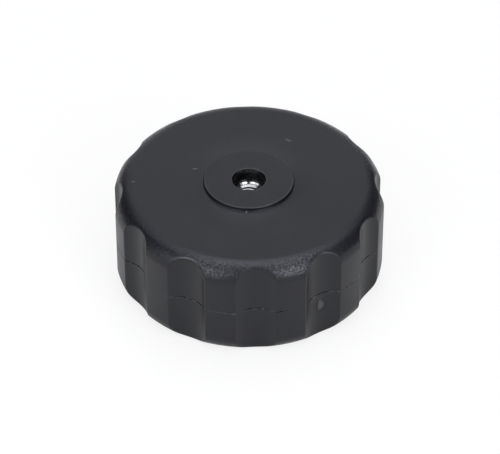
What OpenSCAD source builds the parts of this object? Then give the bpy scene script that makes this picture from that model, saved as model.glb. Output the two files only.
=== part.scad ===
// Fluted handwheel for an M8 spindle: two black plastic shells, closed at mid height round a
// long hexagonal steel nut. Millimetres, +Z along the spindle, origin at the centre of the
// flat underside that the wheel stands on.

/* [Wheel body] */
// Diameter over the lobes
wheel_d = 80; // [70:1:100]
// Height of the rim, from the underside to the flat top
rim_h = 32.5; // [31:0.5:45]
// Rounding between the side and the flat faces, the same on both shells
edge_r = 6; // [4:0.25:8]
// Wall thickness of the shells
wall = 2.8; // [2.4:0.1:3.6]

/* [Grip flutes] */
// Number of finger flutes round the rim
flute_count = 12; // [8:1:14]
// Depth of a flute below the lobes
flute_depth = 2.6; // [1.8:0.1:3.2]
// Radius of the hollow of a flute
flute_r = 9.3; // [7:0.1:12]
// Rounding of the upright edges between flutes and lobes
flute_edge_r = 0.7; // [0.4:0.05:1]

/* [Boss and spindle holes] */
// Diameter of the raised disc in the middle of the top
boss_d = 26.6; // [24:0.1:36]
// Height of the disc above the flat top
boss_h = 1.2; // [0.6:0.1:2.5]
// Rounding of the disc's rim and of the mouths of the holes
mouth_r = 0.25; // [0.1:0.05:0.4]
// Diameter of the spindle holes above and below the nut
hole_d = 10; // [9:0.1:11]

/* [Joint between the shells] */
// Height of the shadow line cut into the foot of the upper shell
shadow_h = 0.35; // [0.2:0.05:0.6]
// Depth of the shadow line
shadow_depth = 0.35; // [0.2:0.05:0.6]
// Height of the lip on the lower shell that centres the upper one
lip_h = 2; // [1.5:0.1:3]
// Gap round the lip
lip_gap = 0.1; // [0.05:0.05:0.2]

/* [Hub and nut] */
// Outer diameter of the hub tube inside each shell
hub_d = 20; // [19.5:0.5:22]
// Gap between the ends of the two hub tubes
hub_gap = 0.2; // [0.1:0.05:0.5]
// Width of the nut across its flats
nut_af = 13; // [12.5:0.1:13.5]
// Length of the nut
nut_len = 24; // [18:1:25]
// Depth of the nut below the top of the boss
nut_depth = 4.7; // [4.2:0.1:6]
// Diameter of the round bearing face at each end of the nut
nut_face_d = 12.4; // [11.6:0.1:12.5]
// Core diameter of the M8 x 1.25 thread
thread_core_d = 6.647; // [6.3:0.001:6.9]
// Diameter of the countersink at each end of the thread
sink_d = 8.8; // [8.2:0.1:8.9]
// Gap between the nut and its pocket
nut_gap = 0.05; // [0.02:0.01:0.1]

/* [Hidden] */
$fn = 96;

// Overrun of a cut past the face that it opens
cut = 1;
wheel_r = wheel_d / 2;
// The shells meet at mid height, so this is also the height of each
joint_z = rim_h / 2;
boss_z = rim_h + boss_h;
nut_top_z = boss_z - nut_depth;
nut_foot_z = nut_top_z - nut_len;
// Distance from the wheel's axis to the axis of a flute's hollow
flute_axis = wheel_r - flute_depth + flute_r;
// The lip fills the inner half of the wall
lip_inset = wall / 2;
// A nut's countersink is a 120 degree cone, and its corners are turned back at 30 degrees
sink_h = (sink_d - thread_core_d) / 2 / tan(60);
nut_corner_d = nut_af / cos(30);
nut_corner_h = (nut_corner_d - nut_face_d) / 2 * tan(30);

// Direction at an angle from the middle of the flute that lies along -Y
function from_flute(angle) = [sin(angle), -cos(angle)];

// Angle at which a circle of radius r touches the lobe from inside and the hollow from outside
function edge_angle(rim, hollow, r) = acos(
    (flute_axis ^ 2 + (rim - r) ^ 2 - (hollow + r) ^ 2) / (2 * flute_axis * (rim - r)));

// What the rounding of one edge takes off: a wedge round the sharp edge, less the round itself
module edge_waste(rim, hollow, r) {
    angle = edge_angle(rim, hollow, r);
    centre = (rim - r) * from_flute(angle);
    to_lobe = 2 * r * from_flute(angle);
    to_hollow = 2 * r * ([0, -flute_axis] - centre) / (hollow + r);
    difference() {
        polygon([centre, centre + to_lobe, centre + to_lobe + to_hollow, centre + to_hollow]);
        translate(centre) circle(r = r);
    }
}

// Copies what it is given to both edges of every flute
module each_edge() {
    for (i = [1 : flute_count], side = [0, 1])
        rotate(i * 360 / flute_count) mirror([side, 0]) children();
}

// Plan of the hollows of all the flutes, grown by inset
module hollows(inset) {
    for (i = [1 : flute_count])
        rotate(i * 360 / flute_count) translate([0, -flute_axis]) circle(r = flute_r + inset);
}

// Plan of the grip, set in from the outer surface by inset
module grip_plan(inset) {
    rim = wheel_r - inset;
    r = flute_edge_r - inset;
    difference() {
        circle(r = rim);
        hollows(inset);
        if (r > 0) each_edge() edge_waste(rim, flute_r + inset, r);
    }
}

// Solid of revolution from z = 0 up to h, with its upper edge rounded
module rounded_disc(radius, h, corner) {
    rotate_extrude() {
        square([radius - corner, h]);
        square([radius, h - corner]);
        translate([radius - corner, h - corner]) intersection() {
            circle(r = corner);
            square(corner);
        }
    }
}

// Half of the hollow body, its open side at z = 0
module half_shell() {
    difference() {
        intersection() {
            linear_extrude(joint_z) grip_plan(0);
            rounded_disc(wheel_r, joint_z, edge_r);
        }
        // Hollow between the wall and the hub tube
        difference() {
            rounded_disc(wheel_r - wall, joint_z - wall, edge_r - wall);
            translate([0, 0, -cut]) linear_extrude(joint_z + cut) hollows(wall);
            cylinder(d = hub_d, h = joint_z);
        }
        cylinder(d = hub_d + cut, h = hub_gap / 2);
    }
}

// Spindle hole that runs up from z0 and opens at z1 with a rounded mouth
module spindle_hole(z0, z1) {
    hole_r = hole_d / 2;
    rotate_extrude() {
        translate([0, z0]) square([hole_r, z1 - z0 + cut]);
        difference() {
            translate([hole_r, z1 - mouth_r]) square([mouth_r, mouth_r + cut]);
            translate([hole_r + mouth_r, z1 - mouth_r]) circle(r = mouth_r);
        }
    }
}

// Hexagonal pocket between two heights
module nut_pocket(z0, z1) {
    translate([0, 0, z0]) cylinder(d = (nut_af + 2 * nut_gap) / cos(30), h = z1 - z0, $fn = 6);
}

module upper_shell() {
    color("#2a2b2f") difference() {
        union() {
            translate([0, 0, joint_z]) half_shell();
            translate([0, 0, rim_h]) rounded_disc(boss_d / 2, boss_h, mouth_r);
        }
        spindle_hole(joint_z, boss_z);
        nut_pocket(joint_z - cut, nut_top_z + nut_gap);
        // Rebate for the lower shell's lip
        translate([0, 0, joint_z - cut]) linear_extrude(cut + lip_h + lip_gap) difference() {
            grip_plan(lip_inset);
            grip_plan(wall + cut);
        }
        // Shadow line
        translate([0, 0, joint_z - cut]) linear_extrude(cut + shadow_h) difference() {
            circle(r = wheel_r + cut);
            grip_plan(shadow_depth);
        }
    }
}

module lower_shell() {
    color("#28292d") difference() {
        union() {
            translate([0, 0, joint_z]) mirror([0, 0, 1]) half_shell();
            // Lip that stands inside the upper shell's wall
            translate([0, 0, joint_z]) linear_extrude(lip_h) difference() {
                grip_plan(lip_inset + lip_gap);
                grip_plan(wall);
            }
        }
        mirror([0, 0, 1]) spindle_hole(-joint_z, 0);
        nut_pocket(nut_foot_z, joint_z + cut);
    }
}

module threaded_nut() {
    bearing_r = nut_face_d / 2;
    corner_r = nut_corner_d / 2;
    color("silver") translate([0, 0, nut_foot_z]) difference() {
        intersection() {
            cylinder(d = nut_corner_d, h = nut_len, $fn = 6);
            rotate_extrude() polygon([[0, 0], [bearing_r, 0], [corner_r, nut_corner_h],
                [corner_r, nut_len - nut_corner_h], [bearing_r, nut_len], [0, nut_len]]);
        }
        translate([0, 0, -cut]) cylinder(d = thread_core_d, h = nut_len + 2 * cut);
        cylinder(d1 = sink_d, d2 = thread_core_d, h = sink_h);
        translate([0, 0, nut_len - sink_h]) cylinder(d1 = thread_core_d, d2 = sink_d, h = sink_h);
    }
}

upper_shell();
lower_shell();
threaded_nut();
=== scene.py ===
"""Black fluted handwheel: two moulded shells closed round a long steel nut with an M8 thread."""
from math import acos, atan2, cos, degrees, hypot, inf, pi, radians, sin, sqrt, tan

import bpy
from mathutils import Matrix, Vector, noise


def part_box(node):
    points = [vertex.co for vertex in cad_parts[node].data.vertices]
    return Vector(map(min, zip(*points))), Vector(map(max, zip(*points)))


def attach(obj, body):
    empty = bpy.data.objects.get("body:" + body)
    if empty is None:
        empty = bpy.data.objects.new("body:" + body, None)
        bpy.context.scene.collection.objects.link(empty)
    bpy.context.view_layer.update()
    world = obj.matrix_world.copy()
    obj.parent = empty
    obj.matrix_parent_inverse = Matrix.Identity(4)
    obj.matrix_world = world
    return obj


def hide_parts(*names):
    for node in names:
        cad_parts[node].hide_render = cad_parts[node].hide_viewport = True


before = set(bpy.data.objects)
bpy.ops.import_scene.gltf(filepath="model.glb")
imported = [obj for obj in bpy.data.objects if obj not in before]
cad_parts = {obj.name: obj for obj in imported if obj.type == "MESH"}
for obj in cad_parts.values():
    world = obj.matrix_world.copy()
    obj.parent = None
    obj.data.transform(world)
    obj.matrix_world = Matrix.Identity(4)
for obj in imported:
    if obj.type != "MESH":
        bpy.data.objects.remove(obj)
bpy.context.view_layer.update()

# ---------------------------------------------------------------------------------- Camera
# A long lens looks down on the wheel from the front, nearly square to one of the grip flutes. It
# stands far enough off to draw the near and the far side of the wheel at nearly the same scale.
mm = 0.001
camera_height = radians(40.57)
camera_turn = radians(-2.95)
camera_distance = 866.4 * mm
camera_aim = Vector((0.72, 7.73, 8.5)) * mm
focal_length = 206.9

away = Vector((sin(camera_turn) * cos(camera_height),
               -cos(camera_turn) * cos(camera_height),
               sin(camera_height)))
bpy.ops.object.camera_add(location=camera_aim + camera_distance * away,
                          rotation=(pi / 2 - camera_height, 0, camera_turn))
camera = bpy.context.object
camera.data.lens = focal_length
bpy.context.scene.camera = camera

# ---------------------------------------------------------------------------------- Lower shell
# The lower half of the body is a hollow moulding in black nylon. The tube in its middle holds the
# nut, and the thin lip on its wall centres the upper half, to which it is welded.
wheel_r = 40 * mm
edge_r = 6 * mm
wall = 2.8 * mm
hub_r = 10 * mm
hub_fillet = 0.5 * mm
hub_gap = 0.1 * mm
hole_r = 5 * mm
mouth_r = 0.25 * mm
lip_outer_r = wheel_r - 1.5 * mm
lip_chamfer = 0.2 * mm
joint_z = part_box("upper_shell")[0].z
rim_z = 2 * joint_z
lip_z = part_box("lower_shell")[1].z
nut_low, nut_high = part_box("threaded_nut")

# The edges at the joint are rounded, and where it stands fully open it shows as a shadow line
joint_round = 0.12 * mm
shadow_h = 0.35 * mm
shadow_depth = 0.35 * mm

# A flute is the hollow of a cylinder, sunk into the rim. Its two edges lie edge_turn either side of
# its middle, and the mesh is finer for edge_zone either side of them, so that they can be rounded.
flute_count = 12
flute_r = 9.3 * mm
flute_depth = 2.6 * mm
flute_axis = wheel_r - flute_depth + flute_r
flute_turn = 2 * pi / flute_count
upright_round = 0.7 * mm
edge_turn = acos((flute_axis**2 + wheel_r**2 - flute_r**2) / (2 * flute_axis * wheel_r))
edge_zone = radians(0.9)


def pick(piece, test):
    """Leaves edit mode with only the vertices selected whose place passes the test, and goes back."""
    bpy.ops.object.mode_set(mode="OBJECT")
    for item in [*piece.data.edges, *piece.data.polygons]:
        item.select = False
    for vertex in piece.data.vertices:
        vertex.select = test(vertex.co)
    bpy.ops.object.mode_set(mode="EDIT")


def near(place):
    """A test for pick: is a vertex at this place?"""
    return lambda co: (co - Vector(place)).length < 0.01 * mm


def draw_section(name, corners):
    """Draws a closed outline in the XZ plane from (radius, height) corners, each with its rounding."""
    bpy.ops.object.select_all(action="DESELECT")
    places = [Vector((radius, 0, height)) for radius, height, *rounding in corners]
    bpy.ops.mesh.primitive_plane_add(size=wall, location=places[0])
    piece = bpy.context.object
    piece.name = piece.data.name = name
    bpy.ops.object.transform_apply()
    bpy.ops.object.mode_set(mode="EDIT")
    bpy.ops.mesh.merge(type="CENTER")
    for start, end in zip(places, places[1:]):
        bpy.ops.mesh.extrude_vertices_move(TRANSFORM_OT_translate={"value": end - start})
    pick(piece, lambda co: near(places[0])(co) or near(places[-1])(co))
    bpy.ops.mesh.edge_face_add()
    for radius, height, *rounding in corners:
        if rounding:
            pick(piece, near((radius, 0, height)))
            bpy.ops.mesh.bevel(offset=rounding[0], segments=rounding[1], affect="VERTICES")
    return piece


def spin_sector(piece):
    """Spins the section from the middle of one flute to the next, in finer steps at their edges."""
    pick(piece, lambda co: True)
    to_edge = edge_turn - edge_zone
    lobe = flute_turn - 2 * edge_turn - 2 * edge_zone
    for turn, steps in ((to_edge, 15), (2 * edge_zone, 10), (lobe, 12),
                        (2 * edge_zone, 10), (to_edge, 15)):
        bpy.ops.mesh.spin(steps=steps, angle=turn, center=(0, 0, 0), axis=(0, 0, 1))
    bpy.ops.object.mode_set(mode="OBJECT")


def flute_wall(turn, inset):
    """Distance from the axis to a flute's wall at an angle from its middle, or inf beside it."""
    hollow = flute_r + inset
    beside = flute_axis * sin(turn)
    return inf if beside >= hollow else flute_axis * cos(turn) - sqrt(hollow**2 - beside**2)


def grip_radius(turn, inset, past, r):
    """Where a point at radius r ends once the flute is pressed in, with the flute's edges rounded."""
    turn %= flute_turn
    pressed = flute_wall(min(turn, flute_turn - turn), inset)
    # The rounding softens from the middle of the grip to the arch on the shoulder
    soft = 0.5 * max(upright_round - inset, 0.05 * mm) * (1 + 1.2 * past / edge_r)
    overlap = max(soft - abs(r - pressed), 0)
    return min(r, pressed) - overlap**2 / soft / 4


def press_flutes(piece):
    """Presses the flutes into a spun sector, also where they run out on its rounded shoulder."""
    for vertex in piece.data.vertices:
        x, y, z = vertex.co
        r = hypot(x, y)
        if r < wheel_r - edge_r:
            continue
        past = max(z - (rim_z - edge_r), edge_r - z, 0)
        inset = edge_r - hypot(r - (wheel_r - edge_r), past)
        r_new = grip_radius(abs(atan2(y, x)), inset, past, r)
        vertex.co = (x * r_new / r, y * r_new / r, z)


def close_skin():
    """Makes one closed skin, facing outwards, of the mesh in edit mode, and leaves edit mode."""
    bpy.ops.mesh.select_all(action="SELECT")
    bpy.ops.mesh.remove_doubles(threshold=0.001 * mm)
    bpy.ops.mesh.normals_make_consistent(inside=False)
    bpy.ops.object.mode_set(mode="OBJECT")


def close_ring(piece):
    """Copies a sector round the axis and joins the copies to a full ring."""
    pick(piece, lambda co: True)
    bpy.ops.mesh.spin(dupli=True, steps=flute_count - 1, angle=2 * pi - flute_turn,
                      center=(0, 0, 0), axis=(0, 0, 1))
    close_skin()


def clamp(value, top=1):
    """Holds a value between 0 and top."""
    return min(max(value, 0), top)


def from_front(turn):
    """An angle round the axis, in degrees from the front, up to 180 either way."""
    return (degrees(turn) + 270) % 360 - 180


# Where the joint stands open, in degrees from the front: (middle, half length, how far). Past the
# last of these, on the far side, it opens and closes at random.
open_joints = ((-70, 10, 0.6), (-61, 4, 1), (-34, 2.5, 0.8), (-26.5, 3.5, 0.9), (-1, 7, 0.75),
               (11, 3, 0.7), (29.5, 6.5, 1), (43.5, 3.5, 0.6), (62, 6, 0.7))
far_side = 75


def seam_opening(turn):
    """How far the joint stands open, from 0 to 1: it opens in the flutes and closes on the lobes."""
    place = Vector((cos(turn), sin(turn), 0))
    angle = from_front(turn)
    opening = max(wide * (1 - (abs(angle - middle) / half)**3) for middle, half, wide in open_joints)
    if abs(angle) > far_side:
        opening = max(opening, 0.5 + 1.2 * noise.noise(6 * place))
    return clamp(opening + 0.35 * noise.noise(30 * place))


def loosen_seam(piece, edge_z, side):
    """Draws a shell's outer edge to the joint where that is tight, and flattens its rounding there."""
    slack = 0.01 * mm
    for vertex in piece.data.vertices:
        x, y, z = vertex.co
        r, turn = hypot(x, y), atan2(y, x)
        inset = grip_radius(turn, 0, 0, wheel_r) - r
        above = side * (z - edge_z)
        if -slack < above < joint_round + slack and inset < shadow_depth + 2 * slack:
            opening = seam_opening(turn)
            keep = 0.1 + 0.9 * opening
            gap = (0.02 + 0.33 * opening) * mm if side > 0 else 0
            r_new = r if inset > joint_round + slack else r + inset * (1 - keep)
            vertex.co = (x * r_new / r, y * r_new / r, joint_z + gap + side * above * keep)


def hex_bar(corner_r, low, high):
    """A hexagonal bar between two heights, to cut with."""
    bpy.ops.object.select_all(action="DESELECT")
    bpy.ops.mesh.primitive_cylinder_add(vertices=6, radius=corner_r, depth=high - low,
                                        location=(0, 0, (low + high) / 2),
                                        rotation=(0, 0, radians(30)))
    return bpy.context.object


def apply_cut(piece, cutter, operation="DIFFERENCE"):
    """Cuts a piece with another, or keeps what both share, and takes the cutter away."""
    modifier = piece.modifiers.new("cut", "BOOLEAN")
    modifier.object = cutter
    modifier.operation = operation
    bpy.context.view_layer.objects.active = piece
    bpy.ops.object.modifier_apply(modifier=modifier.name)
    bpy.data.objects.remove(cutter)
    pick(piece, lambda co: True)
    bpy.ops.mesh.remove_doubles(threshold=0.002 * mm)
    bpy.ops.object.mode_set(mode="OBJECT")


def shade(piece):
    """Shades a piece smooth, but for edges sharper than 30 degrees."""
    bpy.ops.object.select_all(action="DESELECT")
    piece.select_set(True)
    bpy.context.view_layer.objects.active = piece
    bpy.ops.object.shade_smooth_by_angle(angle=radians(30))


# The rows up the grip, in millimetres, give the mesh enough places for the gate
grip_rows = (7, 8, 9, 10, 11, 12, 13, 14, 15, 15.75, 15.95)
lower_shell = draw_section("lower_shell_moulding", [
    (hole_r, 0, mouth_r, 4),
    (0.5 * wheel_r, 0),
    (wheel_r, 0, edge_r, 30),
    *[(wheel_r, z * mm) for z in grip_rows],
    (wheel_r, joint_z, joint_round, 4),
    (lip_outer_r, joint_z),
    (lip_outer_r, lip_z, lip_chamfer, 1),
    (wheel_r - wall, lip_z),
    (wheel_r - wall, 8 * mm),
    (wheel_r - wall, wall, edge_r - wall, 8),
    (hub_r, wall, hub_fillet, 3),
    (hub_r, joint_z - hub_gap),
    (hole_r, joint_z - hub_gap)])
spin_sector(lower_shell)
press_flutes(lower_shell)
close_ring(lower_shell)
loosen_seam(lower_shell, joint_z, -1)

# The pocket that keeps the nut from turning
nut_corner_r = (nut_high.y - nut_low.y) / 2 / cos(radians(30))
nut_play = 0.05 * mm
pocket_r = nut_corner_r + nut_play
apply_cut(lower_shell, hex_bar(pocket_r, nut_low.z, rim_z))

# The gate where the plastic was let in, in the flute right of the front one: a leaning stub, sheared
# off, in a shallow dish. Half width, half height and height or depth, in millimetres:
stub_half_w, stub_half_h, stub_height = 1.25, 1.7, 0.3
dish_half_w, dish_half_h, dish_depth = 2.3, 2.8, 0.14
gate_turn = radians(30.7)
gate_z = 12.05 * mm
gate_reach = 4 * mm
gate_out = Vector((sin(gate_turn), -cos(gate_turn), 0))
gate_along = Vector((cos(gate_turn), sin(gate_turn), 0))
gate_place = gate_out * grip_radius(0, 0, 0, wheel_r) + Vector((0, 0, gate_z))
pick(lower_shell, lambda co: (co - gate_place).length < gate_reach + 0.6 * mm and co.z < joint_z - mm)
bpy.ops.mesh.subdivide(number_cuts=4)
bpy.ops.object.mode_set(mode="OBJECT")
for vertex in lower_shell.data.vertices:
    aside, up = (vertex.co - gate_place).dot(gate_along) / mm, (vertex.co.z - gate_z) / mm
    if (vertex.co - gate_place).length < gate_reach:
        # Both are 1 on the outline
        stub = hypot((aside - 0.2 * up) / stub_half_w, up / stub_half_h)
        dish = hypot(aside / dish_half_w, up / dish_half_h)
        height = stub_height * clamp((1.12 - stub) / 0.3) * (1 - 0.3 * noise.noise(vertex.co / mm))
        depth = dish_depth * (1 - clamp((dish - 0.72) / 0.28)**2) + 0.04 * clamp(1.15 - dish, 0.15)
        vertex.co += gate_out * (height - depth) * mm
shade(lower_shell)

# All that lies closer to the axis than this is the wall of a spindle hole
bore_limit = hole_r + 0.01 * mm
# Where hands have polished the grain, in degrees from the front: (middle, half length)
handled_places = ((-21, 12), (20, 17), (120, 50), (-150, 30))


def note_surface(piece, paleness):
    """Notes for the material where a piece is grained, burnished, pale, painted with a highlight, or
    the wall of a bore.
    """
    names = ("mould_grain", "burnish", "pale_and_painted_highlight", "pin_bore")
    for name in names:
        piece.data.attributes.new(name, "FLOAT", "POINT")
    grain, burnish, pale_highlight_values, bore = (piece.data.attributes[name].data for name in names)
    for vertex, normal in zip(piece.data.vertices, piece.data.vertex_normals):
        level, angle = abs(normal.vector.z), from_front(atan2(vertex.co.y, vertex.co.x))
        # The grain comes in where the wall leans over, and fades to a trace on the flat faces
        shoulder = clamp((level - 0.3) / 0.2) - 0.92 * clamp((level - 0.9) / 0.09)
        handled = max(1 - abs(angle - middle) / half for middle, half in handled_places)
        grain[vertex.index].value = shoulder
        burnish[vertex.index].value = shoulder * (0.35 + 0.65 * clamp(1.6 * handled))
        pale_highlight_values[vertex.index].value = paleness(vertex.co)
        bore[vertex.index].value = hypot(vertex.co.x, vertex.co.y) < bore_limit


def flash_and_lip_highlight(co):
    """Flash from the weld, with a painted highlight on the lip: palest on the lobe left of the front
    flute.
    """
    turn = atan2(co.y, co.x)
    place = Vector((cos(turn), sin(turn), 0))
    patch = 0.25 + 0.5 * max(1 - abs(from_front(turn) + 13) / 9, 0) + 0.35 * seam_opening(turn)
    return 0.35 * clamp(patch - 0.3 + 1.3 * noise.noise(45 * place))


def node(tree, kind, settings=(), links=()):
    """Adds a node: settings are its properties or the values of its sockets, links feed its sockets.

    A socket that shares its name with others goes by its number: on a Mix node, 2 and 3 are its
    values, 6 and 7 its colours."""
    made = tree.nodes.new(kind)
    for name, value in dict(settings).items():
        if isinstance(name, str) and hasattr(made, name):
            setattr(made, name, value)
        else:
            made.inputs[name].default_value = value
    for name, source in dict(links).items():
        tree.links.new(source, made.inputs[name])
    return made


def linear(code):
    """Turns an sRGB hex colour to the linear values that a shader wants."""
    values = [int(code[i:i + 2], 16) / 255 for i in (1, 3, 5)]
    return (*[v / 12.92 if v <= 0.04045 else ((v + 0.055) / 1.055)**2.4 for v in values], 1)


# Moulded black nylon: black right through, with a satin skin. The mould was spark-eroded, which gave
# the shoulders a fine grain that breaks the lights up into sparkles. The grip is smooth.
nylon = bpy.data.materials.new("moulded_black_nylon")
nylon.use_nodes = True
tree = nylon.node_tree
skin = tree.nodes["Principled BSDF"]
place = node(tree, "ShaderNodeTexCoord").outputs["Object"]
grain_cover = node(tree, "ShaderNodeAttribute", {"attribute_name": "mould_grain"}).outputs["Fac"]
burnish = node(tree, "ShaderNodeAttribute", {"attribute_name": "burnish"}).outputs["Fac"]
# Pale marks, with painted highlights among them, as noted on the vertices
highlight_and_pale_mask = node(tree, "ShaderNodeAttribute", {"attribute_name": "pale_and_painted_highlight"}).outputs["Fac"]
bore = node(tree, "ShaderNodeAttribute", {"attribute_name": "pin_bore"}).outputs["Fac"]

# Grains of 0.1 mm, drawn 0.3 mm across so that they show: each takes 0.55 mm with its gap
grains = node(tree, "ShaderNodeTexNoise", {"Scale": 1 / (0.55 * mm), "Detail": 1, "Roughness": 0.4},
              {"Vector": place})
grain_height = node(tree, "ShaderNodeMath", {"operation": "MULTIPLY"},
                    {0: grains.outputs["Fac"], 1: grain_cover})
# The flow of the melt leaves slow waves in the skin, a few millimetres apart
waves = node(tree, "ShaderNodeTexNoise", {"Scale": 1 / (7 * mm), "Detail": 1}, {"Vector": place})
wave_bump = node(tree, "ShaderNodeBump", {"Strength": 0.25, "Distance": 0.02 * mm},
                 {"Height": waves.outputs["Fac"]})
grain_bump = node(tree, "ShaderNodeBump", {"Strength": 1, "Distance": 0.12 * mm},
                  {"Height": grain_height.outputs[0], "Normal": wave_bump.outputs[0]})

# A clouded gloss, which goes with the waves
gloss = node(tree, "ShaderNodeMapRange",
             {"From Min": 0.3, "From Max": 0.7, "To Min": 0.31, "To Max": 0.36},
             {"Value": waves.outputs["Fac"]})
# The spindle holes were moulded on polished pins, so they are glossy, and drawing the pins out has
# streaked them upright. Their wall is coloured darker too: painted shade in the hole.
bore_gloss = node(tree, "ShaderNodeMix", {3: 0.12}, {0: bore, 2: gloss.outputs[0]})
tree.links.new(bore_gloss.outputs[0], skin.inputs["Roughness"])
along_bore = node(tree, "ShaderNodeMapping", {"Scale": (1, 1, 0.04)}, {"Vector": place})
streaks = node(tree, "ShaderNodeTexNoise", {"Scale": 1 / (0.8 * mm), "Detail": 1},
               {"Vector": along_bore.outputs[0]})
streak_height = node(tree, "ShaderNodeMath", {"operation": "MULTIPLY"},
                     {0: streaks.outputs["Fac"], 1: bore})
streak_bump = node(tree, "ShaderNodeBump", {"Strength": 1, "Distance": 0.15 * mm},
                   {"Height": streak_height.outputs[0], "Normal": grain_bump.outputs[0]})
skin.inputs["Specular IOR Level"].default_value = 0.4
# Handling has burnished the tops of the grains, which adds a thin polish in spots
polish = node(tree, "ShaderNodeMapRange", {"From Min": 0.42, "From Max": 0.64},
              {"Value": grains.outputs["Fac"]})
polished = node(tree, "ShaderNodeMath", {"operation": "MULTIPLY"}, {0: polish.outputs[0], 1: burnish})
tree.links.new(polished.outputs[0], skin.inputs["Coat Weight"])
skin.inputs["Coat Roughness"].default_value = 0.3

# Flash and the sheared face of the gate have gone pale, as have three scuffs on the top, each of them
# a shallow dent too. A crumb of pale dust lies at the foot of the boss. Painted highlights come in as
# pale too: on the lip along the joint, at the mouth of the hole, on the near rim of the boss and on
# two arches.
dents, pale = None, highlight_and_pale_mask
# Centre in millimetres, turn in degrees, half sizes in millimetres, paleness
scuffs = (((12.7, 19.1, 32.5), -35, (1.3, 0.45), 0.15), ((-15.6, 7.1, 32.5), -3, (0.9, 0.3), 0.15),
          ((-33.9, 2.1, 32.5), 10, (0.6, 0.5), 0.12), ((-1.45, -13.55, 32.5), 0, (0.32, 0.32), 0.9))
for centre, turn, (half_long, half_wide), paleness in scuffs:
    own_place = node(tree, "ShaderNodeMapping",
                     {"vector_type": "TEXTURE", "Location": Vector(centre) * mm,
                      "Rotation": (0, 0, radians(turn)), "Scale": (half_long * mm, half_wide * mm, mm)},
                     {"Vector": place})
    reach = node(tree, "ShaderNodeVectorMath", {"operation": "LENGTH"}, {0: own_place.outputs[0]})
    spot = node(tree, "ShaderNodeMapRange", {"From Min": 1.2, "From Max": 0.4, "To Max": paleness},
                {"Value": reach.outputs["Value"]}).outputs[0]
    pale = node(tree, "ShaderNodeMath", {"operation": "MAXIMUM"}, {0: pale, 1: spot}).outputs[0]
    dents = spot if dents is None else node(
        tree, "ShaderNodeMath", {"operation": "MAXIMUM"}, {0: dents, 1: spot}).outputs[0]
dent_bump = node(tree, "ShaderNodeBump", {"Strength": 1, "Distance": 0.5 * mm, "invert": True},
                 {"Height": dents, "Normal": streak_bump.outputs[0]})
tree.links.new(dent_bump.outputs[0], skin.inputs["Normal"])
tone = node(tree, "ShaderNodeMix",
            {"data_type": "RGBA", 6: linear("#1b1b1f"), 7: linear("#b0b0b0")}, {0: pale})
# Painted shade: the wall of the spindle hole gets a darker colour than the rest of the nylon
bore_painted_shade = node(tree, "ShaderNodeMix",
                 {"data_type": "RGBA", 7: linear("#0c0d0f")}, {0: bore, 6: tone.outputs[2]})
tree.links.new(bore_painted_shade.outputs[2], skin.inputs["Base Color"])


def lower_paleness(co):
    """The flash along the joint is pale, with a painted highlight on the lip, and so is the sheared
    face of the gate.
    """
    if abs(co.z - joint_z) < 0.2 * mm and hypot(co.x, co.y) > wheel_r - 4 * mm:
        return flash_and_lip_highlight(co)
    from_gate = hypot((co - gate_place).dot(gate_along), (co.z - gate_z) / stub_half_h) / mm
    return 0.12 * clamp(2.4 - 2 * from_gate) if (co - gate_place).length < 3 * mm else 0


note_surface(lower_shell, lower_paleness)
lower_shell.data.materials.append(nylon)
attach(lower_shell, "root")
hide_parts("lower_shell")

# ---------------------------------------------------------------------------------- Nut
# A long hexagonal steel nut: its ends turned, countersunk and stepped, tapped M8 right through and
# zinc plated. It stands in the hexagonal pocket of the two hubs, which keeps it from turning.
face_r = 6.2 * mm
face_round = 0.12 * mm
corner_h = (nut_corner_r - face_r) * tan(radians(30))
sink_r = 4.5 * mm
sink_h = 1.12 * mm
# The lead-in for the tap: a short step in the countersink, just over the thread's full diameter
step_r, step_h = 4.05 * mm, 0.27 * mm
step_depth = sink_r - step_r
pitch = 1.25 * mm
# The core is drilled near the top of the thread's tolerance, and the tap is 0.04 mm over 8 mm
core_r = 3.44 * mm
thread_r = 4.02 * mm

# The turned form, with its bore, a little wider than the hexagonal bar that it is turned from
overrun = 0.1 * mm
nut = draw_section("long_hex_nut", [
    (core_r, nut_low.z + sink_h),
    (step_r, nut_low.z + step_depth + step_h),
    (step_r, nut_low.z + step_depth),
    (sink_r, nut_low.z),
    (face_r, nut_low.z, face_round, 2),
    (nut_corner_r + overrun, nut_low.z + corner_h + overrun * tan(radians(30))),
    (nut_corner_r + overrun, nut_high.z - corner_h - overrun * tan(radians(30))),
    (face_r, nut_high.z, face_round, 2),
    (sink_r, nut_high.z),
    (step_r, nut_high.z - step_depth),
    (step_r, nut_high.z - step_depth - step_h),
    (core_r, nut_high.z - sink_h)])
pick(nut, lambda co: True)
bpy.ops.mesh.spin(steps=96, angle=2 * pi, center=(0, 0, 0), axis=(0, 0, 1))
close_skin()
apply_cut(nut, hex_bar(nut_corner_r, nut_low.z - mm, nut_high.z + mm), "INTERSECT")

# The tap: one turn of its 60 degree outline, with a flat of an eighth of the pitch at its crest, is
# wound up past both ends of the nut. Its start sets on which side the thread runs out at the mouth.
tap_low, tap_turns = nut_low.z - 1.87 * pitch, 22
sharp_r = thread_r - (pitch / 2 - pitch / 16) / tan(radians(30))
tap = draw_section("tap", [
    (sharp_r, tap_low),
    (thread_r, tap_low + pitch * 7 / 16),
    (thread_r, tap_low + pitch * 9 / 16),
    (sharp_r, tap_low + pitch)])
pick(tap, lambda co: True)
bpy.ops.mesh.delete(type="ONLY_FACE")
pick(tap, lambda co: near((sharp_r, 0, tap_low))(co) or near((sharp_r, 0, tap_low + pitch))(co))
bpy.ops.mesh.delete(type="EDGE")
bpy.ops.object.mode_set(mode="OBJECT")
modifier = tap.modifiers.new("thread", "SCREW")
modifier.screw_offset = pitch
modifier.iterations = tap_turns
modifier.steps = modifier.render_steps = 64
modifier.use_merge_vertices = True
modifier.merge_threshold = 0.001 * mm
bpy.context.view_layer.objects.active = tap
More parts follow.
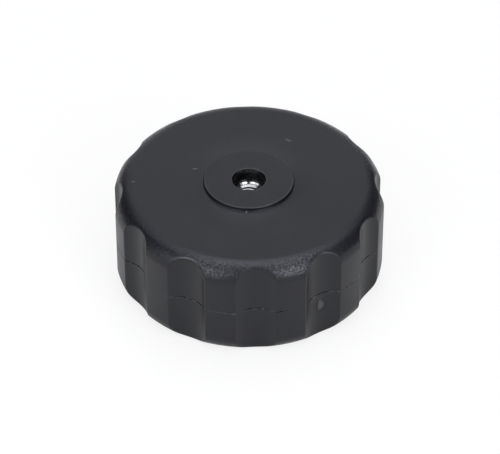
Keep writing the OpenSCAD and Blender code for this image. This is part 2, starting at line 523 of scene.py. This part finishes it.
bpy.ops.object.modifier_apply(modifier=modifier.name)
pick(tap, lambda co: True)
bpy.ops.mesh.fill_holes(sides=0)
bpy.ops.mesh.select_all(action="SELECT")
bpy.ops.mesh.normals_make_consistent(inside=False)
bpy.ops.object.mode_set(mode="OBJECT")
apply_cut(nut, tap)
shade(nut)

# Bright zinc plate on steel: a clear silver, clouded here and there, over the rings that the lathe's
# tool left. The rings are 0.1 mm apart, drawn 0.25 mm apart so that they show.
ring_pitch = 0.25 * mm
zinc = bpy.data.materials.new("bright_zinc_plate")
zinc.use_nodes = True
tree = zinc.node_tree
metal = tree.nodes["Principled BSDF"]
metal.inputs["Metallic"].default_value = 1
place = node(tree, "ShaderNodeTexCoord").outputs["Object"]
clouds = node(tree, "ShaderNodeTexNoise", {"Scale": 1 / (2.5 * mm), "Detail": 3}, {"Vector": place})
plate_tone = node(tree, "ShaderNodeMix",
                  {"data_type": "RGBA", 6: linear("#b7b7b5"), 7: linear("#d2d1cc")},
                  {0: clouds.outputs["Fac"]})
tree.links.new(plate_tone.outputs[2], metal.inputs["Base Color"])
plate_gloss = node(tree, "ShaderNodeMapRange",
                   {"From Min": 0.3, "From Max": 0.7, "To Min": 0.08, "To Max": 0.18},
                   {"Value": clouds.outputs["Fac"]})
tree.links.new(plate_gloss.outputs[0], metal.inputs["Roughness"])
# A wave of scale 1 repeats every 0.314
rings = node(tree, "ShaderNodeTexWave",
             {"wave_type": "RINGS", "rings_direction": "Z",
              "Scale": 0.314 / ring_pitch, "Distortion": 0.4},
             {"Vector": place})
ring_bump = node(tree, "ShaderNodeBump", {"Strength": 0.3, "Distance": 0.01 * mm},
                 {"Height": rings.outputs["Fac"]})
tree.links.new(ring_bump.outputs[0], metal.inputs["Normal"])
nut.data.materials.append(zinc)
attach(nut, "root")
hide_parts("threaded_nut")

# ---------------------------------------------------------------------------------- Upper shell
# The upper half of the body, moulded in the same nylon: the flat top with its low boss round the
# spindle hole, and a tube inside that holds the nut down. The lower shell's lip fits in a rebate in
# its wall, and the two are welded there.
shadow_z = joint_z + shadow_h
shadow_r = wheel_r - shadow_depth
rebate_r = wheel_r - 1.4 * mm
lip_gap = 0.1 * mm
boss_r = 13.3 * mm
boss_round = 0.3 * mm
boss_fillet = 0.15 * mm
boss_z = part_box("upper_shell")[1].z

# Two more corners on the boss keep the painted highlights on the rims of its hole and of its edge
# narrow
upper_shell = draw_section("upper_shell_moulding", [
    (hole_r, boss_z, mouth_r, 4),
    (hole_r + 0.35 * mm, boss_z),
    (boss_r - 0.7 * mm, boss_z),
    (boss_r, boss_z, boss_round, 5),
    (boss_r, rim_z, boss_fillet, 3),
    (0.6 * wheel_r, rim_z),
    (wheel_r, rim_z, edge_r, 40),
    *[(wheel_r, z * mm) for z in (24, 22, 20, 18, 16.95)],
    (wheel_r, shadow_z, joint_round, 4),
    (shadow_r, shadow_z),
    (shadow_r, joint_z),
    (rebate_r, joint_z),
    (rebate_r, lip_z + lip_gap),
    (wheel_r - wall, lip_z + lip_gap),
    (wheel_r - wall, rim_z - wall, edge_r - wall, 10),
    (hub_r, rim_z - wall, hub_fillet, 3),
    (hub_r, joint_z + hub_gap),
    (hole_r, joint_z + hub_gap)])
spin_sector(upper_shell)
press_flutes(upper_shell)
close_ring(upper_shell)
loosen_seam(upper_shell, shadow_z, 1)
apply_cut(upper_shell, hex_bar(pocket_r, 0, nut_high.z + nut_play))
shade(upper_shell)


def upper_painted_highlights(co):
    """Painted highlights: the mouth of the hole, the near rim of the boss, and two arches near the
    front.
    """
    r, turn, past = hypot(co.x, co.y), atan2(co.y, co.x), co.z - (rim_z - edge_r)
    if co.z > rim_z + 0.5 * mm:
        on_rim = r > boss_r - 0.35 * mm and co.z > boss_z - 0.2 * mm and co.y < 0
        return 0.1 if bore_limit < r < hole_r + mouth_r else 0.045 if on_rim else 0
    flank = abs((turn + flute_turn / 2) % flute_turn - flute_turn / 2)
    on_shoulder = past > 0 and abs(hypot(r - (wheel_r - edge_r), past) - edge_r) < 0.12 * mm
    if on_shoulder and 0 < flute_wall(flank, 0) - r < 0.45 * mm:
        angle = from_front(turn)
        return max(0.2 * (1 - abs(angle + 31) / 7), 0.1 * (1 - abs(angle - 33) / 4), 0)
    return 0


# The upper shell's pale marks are all painted highlights
note_surface(upper_shell, upper_painted_highlights)
upper_shell.data.materials.append(nylon)
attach(upper_shell, "root")
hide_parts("upper_shell")

# ---------------------------------------------------------------------------------- Studio
# A plain pale floor inside a tent: black cloth round the front and the sides, a white wall behind.
# Four soft boxes stand round the front and four hang overhead. Only the floor shows to the camera.
bpy.ops.object.select_all(action="DESELECT")
# The floor lies a hair under the wheel, so that the two faces aren't in one plane
bpy.ops.mesh.primitive_plane_add(size=8, location=(0, 0, -0.02 * mm))
floor = bpy.context.object
floor.name = "studio_floor"

# White paper. To the camera it glows most of the way to white, so that only a soft shadow is left,
# and a little of that glow shows in what mirrors it.
camera_glow, mirror_glow = 0.75, 0.2
paper = bpy.data.materials.new("white_paper")
paper.use_nodes = True
tree = paper.node_tree
rays = node(tree, "ShaderNodeLightPath").outputs
mirrored = node(tree, "ShaderNodeMath", {"operation": "ADD"},
                {0: rays["Is Glossy Ray"], 1: rays["Is Transmission Ray"]})
mirror_share = node(tree, "ShaderNodeMath", {"operation": "MULTIPLY", 1: mirror_glow},
                    {0: mirrored.outputs[0]})
glow_share = node(tree, "ShaderNodeMath", {"operation": "MULTIPLY_ADD", 1: camera_glow},
                  {0: rays["Is Camera Ray"], 2: mirror_share.outputs[0]})
matt = node(tree, "ShaderNodeBsdfDiffuse", {"Color": (0.86, 0.85, 0.8, 1)})
glow = node(tree, "ShaderNodeEmission", {"Color": (1, 1, 1, 1), "Strength": 1.08})
mixed = node(tree, "ShaderNodeMixShader", {},
             {0: glow_share.outputs[0], 1: matt.outputs[0], 2: glow.outputs[0]})
tree.links.new(mixed.outputs[0], tree.nodes["Material Output"].inputs["Surface"])
floor.data.materials.append(paper)

# The tent is of black cloth that mirrors nothing. Its wall behind the wheel is white and glows
# faintly up to the height of the lamps, which lays a sheen on the wheel's top.
tent_r = 1.8
wall_half = radians(26)
bpy.ops.object.select_all(action="DESELECT")
bpy.ops.mesh.primitive_uv_sphere_add(segments=72, ring_count=36, radius=tent_r)
tent = bpy.context.object
tent.name = "tent"
pick(tent, lambda co: co.z < -10 * mm)
bpy.ops.mesh.delete(type="VERT")
bpy.ops.object.mode_set(mode="OBJECT")
tent.visible_camera = False
for name, grey, strength in (("black_cloth", 0.01, 0), ("white_wall", 0.8, 0.3)):
    material = bpy.data.materials.new(name)
    material.use_nodes = True
    shader = material.node_tree.nodes["Principled BSDF"]
    shader.inputs["Base Color"].default_value = (grey, grey, grey, 1)
    shader.inputs["Specular IOR Level"].default_value = 0
    shader.inputs["Emission Color"].default_value = (1, 1, 1, 1)
    shader.inputs["Emission Strength"].default_value = strength
    tent.data.materials.append(material)
for face in tent.data.polygons:
    if abs(atan2(face.center.x, face.center.y)) < wall_half and face.center.z < 0.8 * tent_r:
        face.material_index = 1

# The lamps are daylight tubes, a little cooler than the paper's white
cool_white = linear("#f1f4ff")[:3]


def soft_box(name, place, turn, size, strength):
    """Hangs a soft box that glows with this strength, where 1 is as bright as white paper."""
    bpy.ops.object.light_add(type="AREA", location=place, rotation=turn)
    box = bpy.context.object
    box.name = name
    box.data.shape = "RECTANGLE"
    box.data.size, box.data.size_y = size
    box.data.color = cool_white
    box.data.energy = strength * pi * size[0] * size[1] / cool_white[1]
    box.visible_camera = False


# Round the front, so many degrees to the right and up, and overhead, at the same distance
lamp_distance = 1.3
for name, side, height, size, strength in (("front_left", -32, 28, (0.68, 1.2), 1.75),
                                           ("side_left", -64, 26, (0.66, 1.1), 1.25),
                                           ("front_right", 31, 28, (0.62, 1.2), 2.9),
                                           ("side_right", 56, 28, (0.4, 1.2), 0.6)):
    side, height = radians(side), radians(height)
    towards = Vector((sin(side) * cos(height), -cos(side) * cos(height), sin(height)))
    soft_box(name, lamp_distance * towards, (pi / 2 - height, 0, side), size, strength)
soft_box("overhead_left", (-0.5, 0, lamp_distance), (0, 0, 0), (0.68, 1.7), 1.1)
soft_box("overhead_right", (0.5, 0, lamp_distance), (0, 0, 0), (0.68, 1.7), 1.4)
soft_box("overhead_front", (0, -0.3, lamp_distance), (0, 0, 0), (0.32, 0.36), 1.5)
soft_box("overhead_middle", (0, 0.37, lamp_distance), (0, 0, 0), (0.32, 0.96), 3.2)

# Outside the tent the room is white, and the floor's far edge runs into it
world = bpy.data.worlds.new("white_room")
bpy.context.scene.world = world
world.use_nodes = True
world.node_tree.nodes["Background"].inputs["Color"].default_value = (1, 1, 1, 1)
world.node_tree.nodes["Background"].inputs["Strength"].default_value = 1
bpy.context.scene.view_settings.view_transform = "Standard"
